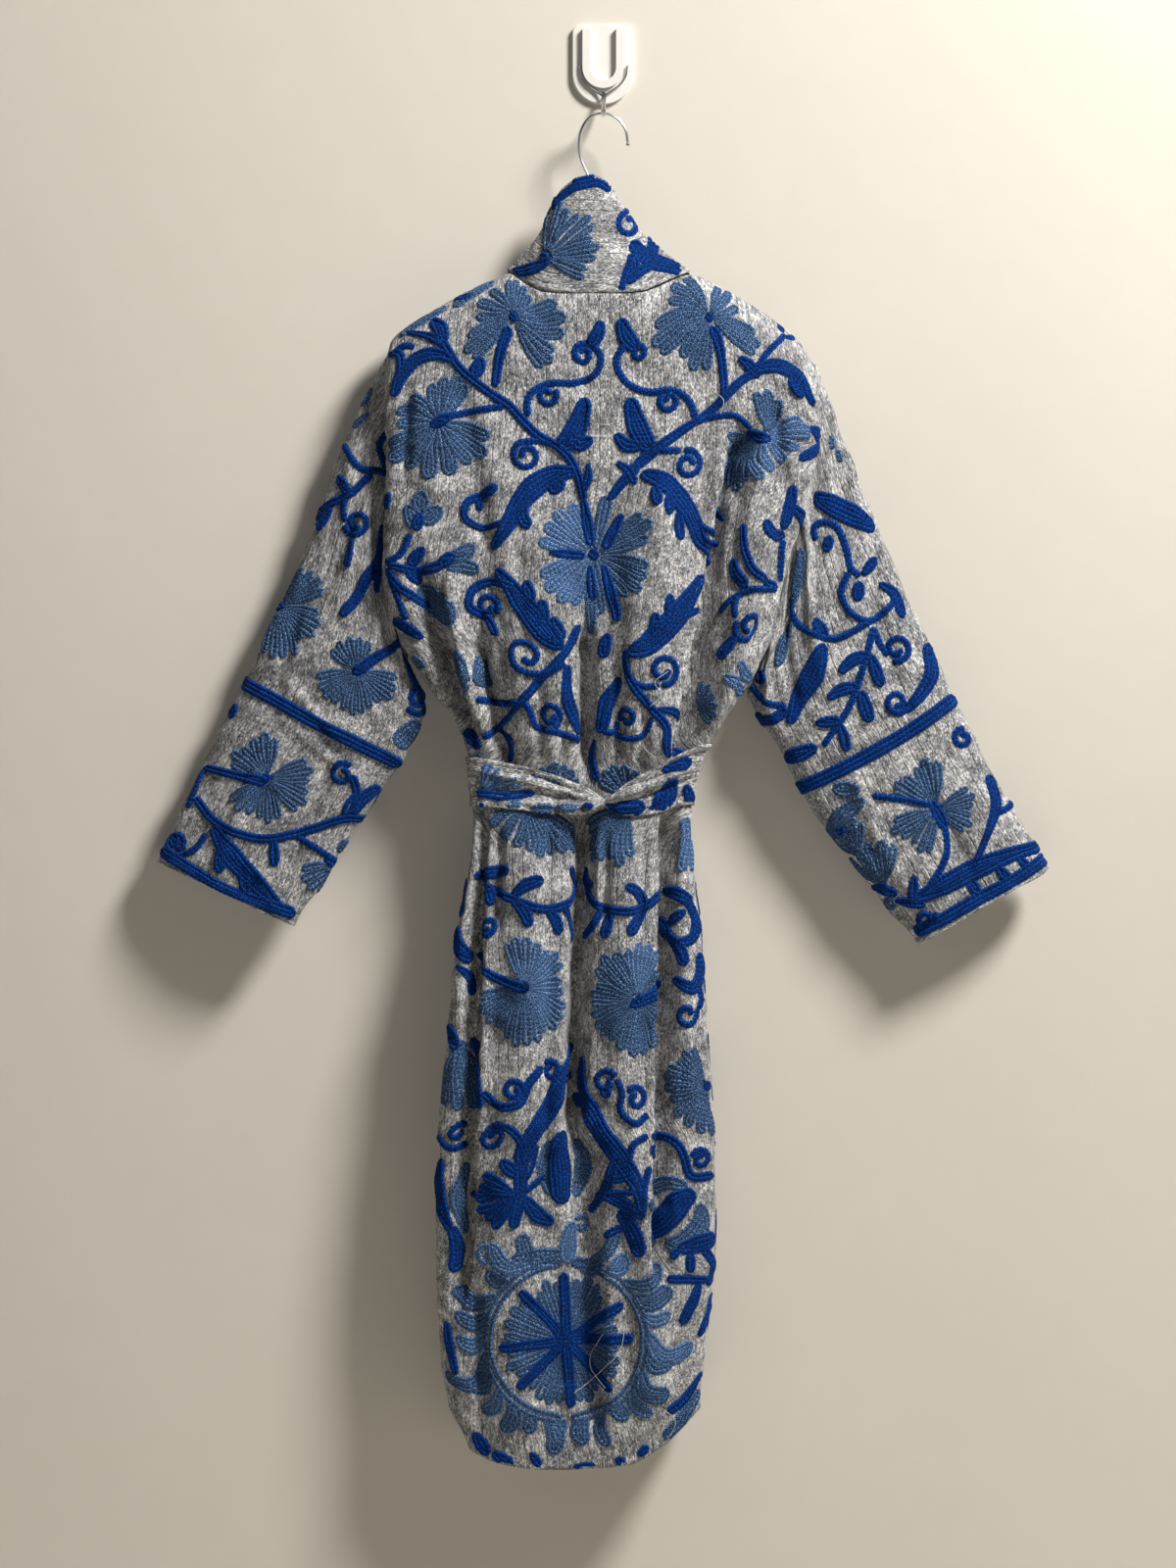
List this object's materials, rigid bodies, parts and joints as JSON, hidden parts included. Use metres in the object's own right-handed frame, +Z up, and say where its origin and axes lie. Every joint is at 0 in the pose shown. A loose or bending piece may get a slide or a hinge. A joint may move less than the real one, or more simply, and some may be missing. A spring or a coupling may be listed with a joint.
{
  "type": "embroidered long robe on a hanger and wall hook",
  "caption": "Long wrap robe with dropped wide sleeves, standing collar and tied sash, covered in embroidery, hanging by its back on a plain hanger from a wall hook.",
  "frame": {"origin": "on the wall plate's flat back face, at its middle, where the wall holds the part", "axes": "+Z up, +Y into the wall, +X to the right as seen from the room; the robe's back faces -Y"},
  "size_m": [0.916, 0.1104, 1.481],
  "materials": {
    "robe_cloth": "grey cloth with blue chain-stitch embroidery",
    "belt_cloth": "grey cloth with a little blue embroidery",
    "hanger_wood": "smooth",
    "hook_wire": "bright wire",
    "wall_plate": "white, smooth"
  },
  "bodies": {
    "root": {"back_panel": "robe_cloth", "front_left": "robe_cloth", "front_right": "robe_cloth", "band_left": "robe_cloth", "band_right": "robe_cloth", "collar": "robe_cloth", "sleeve_left": "robe_cloth", "sleeve_right": "robe_cloth", "belt": "belt_cloth", "belt_knot": "belt_cloth", "belt_tail_left": "belt_cloth", "belt_tail_right": "belt_cloth", "hanger_bar": "hanger_wood", "hanger_hook": "hook_wire", "wall_plate": "wall_plate", "wall_hook": "hook_wire"}
  },
  "joints": []
}
